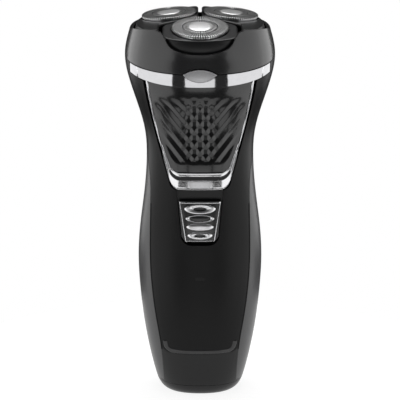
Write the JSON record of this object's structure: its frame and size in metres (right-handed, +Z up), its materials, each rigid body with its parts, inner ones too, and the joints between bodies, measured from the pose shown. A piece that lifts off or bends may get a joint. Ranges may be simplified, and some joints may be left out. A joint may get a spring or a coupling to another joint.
{
  "type": "rotary electric shaver",
  "caption": "Upright hand-held rotary shaver with floating slotted rings on a flip-up head, a waisted dark handle, chrome trims, a sliding power switch and a pop-out trimmer.",
  "frame": {"origin": "centre of the flat base, on the surface that the shaver stands on", "axes": "+Z up along the handle, -Y out of the front face with the switch, +X to the right hand of a viewer looking at the front"},
  "size_m": [0.06, 0.0584, 0.1571],
  "materials": {
    "dark_shell": "satin moulded black",
    "satin_cover": "fine matte black",
    "gloss_black": "polished black",
    "gloss_panel": "glossy dark grey with raised relief",
    "chrome_trim": "bright plated plastic",
    "satin_metal": "satin plated",
    "soft_grip": "satin soft touch dark grey",
    "pod_plastic": "satin dark grey",
    "ring_steel": "turned and slotted",
    "steel": "machined",
    "inner_plastic": "moulded",
    "gear_plastic": "natural white",
    "contact_metal": "plated",
    "lens": "dark tinted",
    "board": "laminate",
    "cell_wrap": "shrink wrap"
  },
  "bodies": {
    "handle": {"front_shell": "dark_shell", "rear_shell": "dark_shell", "front_cover": "satin_cover", "textured_panel": "gloss_panel", "chrome_bezel": "chrome_trim", "chrome_band": "chrome_trim", "left_grip": "soft_grip", "right_grip": "soft_grip", "base_cap": "dark_shell", "charging_socket": "inner_plastic", "socket_pins": "contact_metal", "indicator_lens": "lens", "indicator_led": "lens", "circuit_board": "board", "power_switch": "inner_plastic", "chassis": "inner_plastic", "left_cell": "cell_wrap", "right_cell": "cell_wrap", "motor": "steel", "gear_plate": "inner_plastic", "drive_deck": "inner_plastic", "deck_screws": "steel", "case_screws": "steel", "hinge_pin": "steel", "trimmer_pin": "steel"},
    "switch": {"switch_slider": "gloss_panel", "switch_ridges": "satin_metal"},
    "release": {"release_button": "satin_metal"},
    "trimmer": {"trimmer_frame": "dark_shell", "trimmer_comb": "steel"},
    "trimmer_cutter": {"trimmer_blade": "steel"},
    "trimmer_release": {"trimmer_key": "satin_cover"},
    "rotor": {"motor_shaft": "steel", "drive_pinion": "gear_plastic"},
    "head": {"head_housing": "gloss_black", "retaining_frame": "inner_plastic", "head_latch": "inner_plastic"},
    "lock": {"lock_knob": "satin_cover"},
    "front_drive": {"front_drive_gear": "gear_plastic", "front_spindle": "gear_plastic"},
    "front_pod": {"front_pod": "pod_plastic", "front_shaving_ring": "ring_steel", "front_ring_cap": "ring_steel"},
    "front_cutter": {"front_cutter": "steel"},
    "right_drive": {"right_drive_gear": "gear_plastic", "right_spindle": "gear_plastic"},
    "right_pod": {"right_pod": "pod_plastic", "right_shaving_ring": "ring_steel", "right_ring_cap": "ring_steel"},
    "right_cutter": {"right_cutter": "steel"},
    "left_drive": {"left_drive_gear": "gear_plastic", "left_spindle": "gear_plastic"},
    "left_pod": {"left_pod": "pod_plastic", "left_shaving_ring": "ring_steel", "left_ring_cap": "ring_steel"},
    "left_cutter": {"left_cutter": "steel"}
  },
  "joints": [
    {"name": "power_slide", "type": "slide", "parent": "handle", "child": "switch", "axis": [0, 0, 1], "range_m": [0, 0.004]},
    {"name": "release_press", "type": "slide", "parent": "handle", "child": "release", "axis": [0, 1, 0], "range_m": [0, 0.0012], "stiffness_N_per_m": 800},
    {"name": "head_flip", "type": "hinge", "parent": "handle", "child": "head", "pos_m": [0, 0.02611, 0.14724], "axis": [-1, 0, 0], "range_deg": [0, 85]},
    {"name": "lock_turn", "type": "hinge", "parent": "head", "child": "lock", "pos_m": [0, -0.00063, 0.14233], "axis": [0, -0.225, 0.9744], "range_deg": [0, 60]},
    {"name": "trimmer_flip", "type": "hinge", "parent": "handle", "child": "trimmer", "pos_m": [0, 0.01905, 0.1016], "axis": [-1, 0, 0], "range_deg": [0, 60]},
    {"name": "trimmer_stroke", "type": "slide", "parent": "trimmer", "child": "trimmer_cutter", "axis": [1, 0, 0], "range_m": [-0.001, 0.001]},
    {"name": "trimmer_key_slide", "type": "slide", "parent": "handle", "child": "trimmer_release", "axis": [0, 0, -1], "range_m": [0, 0.0025], "stiffness_N_per_m": 300},
    {"name": "motor_spin", "type": "hinge", "parent": "handle", "child": "rotor", "pos_m": [0, 0.00112, 0.13473], "axis": [0, -0.225, 0.9744], "continuous": true},
    {"name": "front_gear_spin", "type": "hinge", "parent": "handle", "child": "front_drive", "pos_m": [0, -0.01238, 0.13161], "axis": [0, -0.225, 0.9744], "continuous": true},
    {"name": "front_pod_tilt", "type": "hinge", "parent": "head", "child": "front_pod", "pos_m": [0, -0.01596, 0.14646], "axis": [1, 0, 0], "range_deg": [-2.5, 2.5], "stiffness_Nm_per_rad": 0.4},
    {"name": "front_cutter_spin", "type": "hinge", "parent": "front_pod", "child": "front_cutter", "pos_m": [0, -0.01596, 0.14646], "axis": [0, -0.3256, 0.9455], "continuous": true},
    {"name": "right_gear_spin", "type": "hinge", "parent": "handle", "child": "right_drive", "pos_m": [0.012, 0.00788, 0.13629], "axis": [0, -0.225, 0.9744], "continuous": true},
    {"name": "right_pod_tilt", "type": "hinge", "parent": "head", "child": "right_pod", "pos_m": [0.01213, 0.00452, 0.15119], "axis": [-0.5, 0.8438, 0.1948], "range_deg": [-2.5, 2.5], "stiffness_Nm_per_rad": 0.4},
    {"name": "right_cutter_spin", "type": "hinge", "parent": "right_pod", "child": "right_cutter", "pos_m": [0.01213, 0.00452, 0.15119], "axis": [0.0905, -0.1728, 0.9808], "continuous": true},
    {"name": "left_gear_spin", "type": "hinge", "parent": "handle", "child": "left_drive", "pos_m": [-0.012, 0.00788, 0.13629], "axis": [0, -0.225, 0.9744], "continuous": true},
    {"name": "left_pod_tilt", "type": "hinge", "parent": "head", "child": "left_pod", "pos_m": [-0.01213, 0.00452, 0.15119], "axis": [-0.5, -0.8438, -0.1948], "range_deg": [-2.5, 2.5], "stiffness_Nm_per_rad": 0.4},
    {"name": "left_cutter_spin", "type": "hinge", "parent": "left_pod", "child": "left_cutter", "pos_m": [-0.01213, 0.00452, 0.15119], "axis": [-0.0905, -0.1728, 0.9808], "continuous": true}
  ],
  "couplings": [
    {"joint": "front_gear_spin", "follows": "motor_spin", "ratio": -0.85714},
    {"joint": "front_cutter_spin", "follows": "motor_spin", "ratio": -0.85714},
    {"joint": "right_gear_spin", "follows": "motor_spin", "ratio": -0.85714},
    {"joint": "right_cutter_spin", "follows": "motor_spin", "ratio": -0.85714},
    {"joint": "left_gear_spin", "follows": "motor_spin", "ratio": -0.85714},
    {"joint": "left_cutter_spin", "follows": "motor_spin", "ratio": -0.85714}
  ]
}
